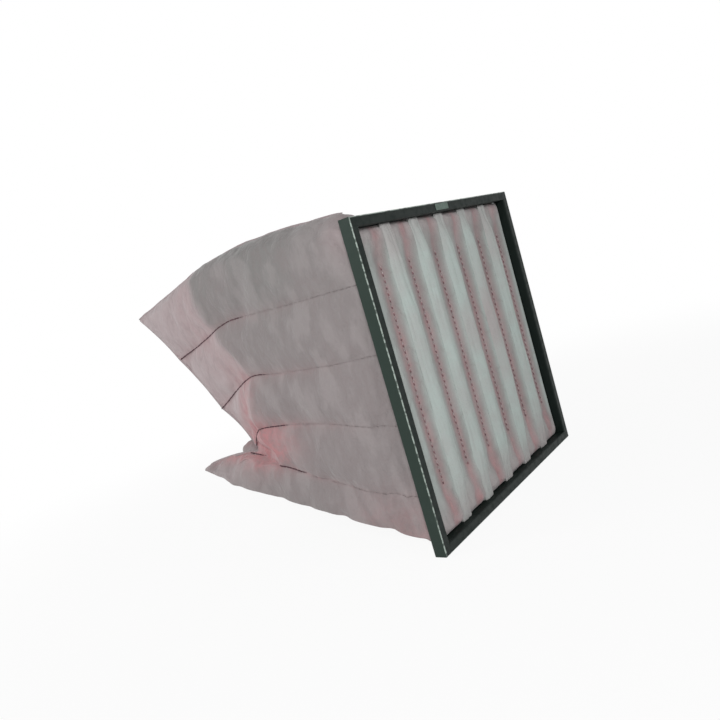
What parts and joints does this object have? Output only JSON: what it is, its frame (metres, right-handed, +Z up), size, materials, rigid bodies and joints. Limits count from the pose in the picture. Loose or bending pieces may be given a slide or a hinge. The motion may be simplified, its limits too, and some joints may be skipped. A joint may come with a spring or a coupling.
{
  "type": "bag air filter",
  "caption": "Ventilation bag filter: a painted sheet-metal header frame carrying deep stitched cloth pockets side by side, with slumped tails.",
  "frame": {"origin": "middle of the bottom rail's rear flange, on the flat face that seats against the mounting frame", "axes": "+Y downstream, out of the seating face along the pockets; +Z up along the header; +X to the right seen from the air-entry side"},
  "size_m": [0.6202, 0.6529, 0.6222],
  "materials": {
    "header_paint": "satin dark green paint",
    "key_plastic": "moulded black",
    "strip_steel": "zinc-coated strip",
    "sleeve_cloth": "pale mint nonwoven",
    "tag_metal": "bare grey-green plate",
    "pocket_cloth": "pale pink nonwoven"
  },
  "bodies": {
    "root": {"header_rail_top": "header_paint", "header_rail_bottom": "header_paint", "header_rail_left": "header_paint", "header_rail_right": "header_paint", "corner_key_top_left": "key_plastic", "corner_key_top_right": "key_plastic", "corner_key_bottom_left": "key_plastic", "corner_key_bottom_right": "key_plastic", "divider_strip_1": "strip_steel", "divider_strip_2": "strip_steel", "divider_strip_3": "strip_steel", "divider_strip_4": "strip_steel", "divider_strip_5": "strip_steel", "divider_sleeve_1": "sleeve_cloth", "divider_sleeve_2": "sleeve_cloth", "divider_sleeve_3": "sleeve_cloth", "divider_sleeve_4": "sleeve_cloth", "divider_sleeve_5": "sleeve_cloth", "tag_plate": "tag_metal", "pocket_1": "pocket_cloth", "pocket_2": "pocket_cloth", "pocket_3": "pocket_cloth", "pocket_4": "pocket_cloth", "pocket_5": "pocket_cloth", "pocket_6": "pocket_cloth"}
  },
  "joints": []
}
